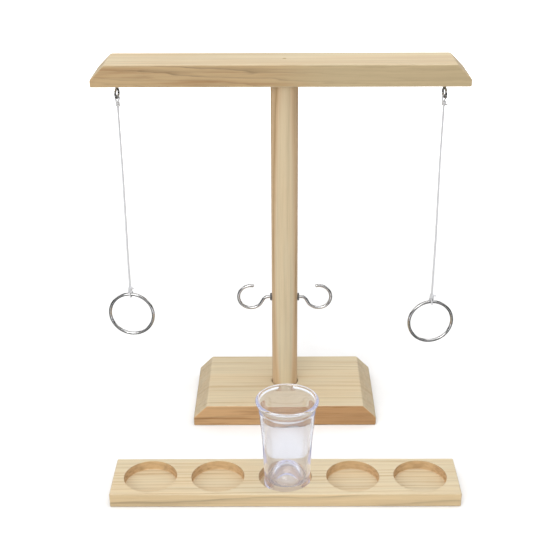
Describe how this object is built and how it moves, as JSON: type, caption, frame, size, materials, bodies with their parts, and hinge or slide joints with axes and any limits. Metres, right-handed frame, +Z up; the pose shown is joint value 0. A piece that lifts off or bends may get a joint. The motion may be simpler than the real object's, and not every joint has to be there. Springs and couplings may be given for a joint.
{
  "type": "tabletop ring toss game",
  "caption": "Tabletop hook and ring toss game: a post with a crossbar, metal rings hanging on strings, open wire hooks on the post, and a pocketed tray with a tall shot glass.",
  "frame": {"origin": "on the ground under the middle of the post, on the base's underside", "axes": "+X along the crossbar to the right seen from the tray, +Y to the back away from the tray, +Z up"},
  "size_m": [0.3048, 0.2075, 0.314],
  "materials": {
    "pine_crossbar": "sanded pine, thin clear coat",
    "pine_post": "sanded pine dowel",
    "pine_base": "sanded pine, warmer on the edge grain",
    "pine_tray": "sanded pine",
    "wood_filler": "matt wood filler",
    "hidden_steel": "zinc plated steel",
    "hook_nickel": "bright nickel plated wire",
    "collar_nickel": "darker pressed plated steel",
    "eye_nickel": "nickel plated wire",
    "ring_chrome": "polished chrome plated wire",
    "white_cord": "braided white polyester string",
    "clear_glass": "clear with a slight lavender tint"
  },
  "bodies": {
    "stand": {"crossbar": "pine_crossbar", "post": "pine_post", "base": "pine_base", "base_screw": "hidden_steel", "crossbar_nail": "hidden_steel", "nail_filler": "wood_filler", "left_hook": "hook_nickel", "right_hook": "hook_nickel", "left_hook_collar": "collar_nickel", "right_hook_collar": "collar_nickel", "left_eye": "eye_nickel", "right_eye": "eye_nickel"},
    "left_loop": {"left_top_knot": "white_cord"},
    "left_cord": {"left_string": "white_cord"},
    "left_hitch": {"left_ring_knot": "white_cord"},
    "left_toss_ring": {"left_ring": "ring_chrome"},
    "right_loop": {"right_top_knot": "white_cord"},
    "right_cord": {"right_string": "white_cord"},
    "right_hitch": {"right_ring_knot": "white_cord"},
    "right_toss_ring": {"right_ring": "ring_chrome"},
    "tray": {"tray": "pine_tray"},
    "glass": {"glass": "clear_glass"}
  },
  "joints": [
    {"name": "left_string_swing", "type": "hinge", "parent": "stand", "child": "left_loop", "pos_m": [-0.135, 0, 0.28235], "axis": [0.2079, 0.9781, 0], "range_deg": [-18, 80]},
    {"name": "left_string_sway", "type": "hinge", "parent": "left_loop", "child": "left_cord", "pos_m": [-0.135, 0, 0.27595], "axis": [0.9781, -0.2079, 0], "range_deg": [-35, 35]},
    {"name": "left_ring_twist", "type": "hinge", "parent": "left_cord", "child": "left_hitch", "pos_m": [-0.135, 0, 0.11395], "axis": [0, 0, 1], "range_deg": [-180, 180]},
    {"name": "left_ring_tilt", "type": "hinge", "parent": "left_hitch", "child": "left_toss_ring", "pos_m": [-0.135, 0, 0.10675], "axis": [0.9962, -0.0872, 0], "range_deg": [-40, 40]},
    {"name": "right_string_swing", "type": "hinge", "parent": "stand", "child": "right_loop", "pos_m": [0.129, 0, 0.28235], "axis": [0.2079, -0.9781, 0], "range_deg": [-18, 80]},
    {"name": "right_string_sway", "type": "hinge", "parent": "right_loop", "child": "right_cord", "pos_m": [0.129, 0, 0.27595], "axis": [0.9781, 0.2079, 0], "range_deg": [-35, 35]},
    {"name": "right_ring_twist", "type": "hinge", "parent": "right_cord", "child": "right_hitch", "pos_m": [0.129, 0, 0.10595], "axis": [0, 0, 1], "range_deg": [-180, 180]},
    {"name": "right_ring_tilt", "type": "hinge", "parent": "right_hitch", "child": "right_toss_ring", "pos_m": [0.129, 0, 0.09875], "axis": [0.9962, 0.0872, 0], "range_deg": [-40, 40]},
    {"name": "tray_slide", "type": "slide", "parent": "stand", "child": "tray", "axis": [0, -1, 0], "range_m": [-0.06, 0.1]},
    {"name": "glass_lift", "type": "slide", "parent": "tray", "child": "glass", "axis": [0, 0, 1], "range_m": [0, 0.15]}
  ]
}
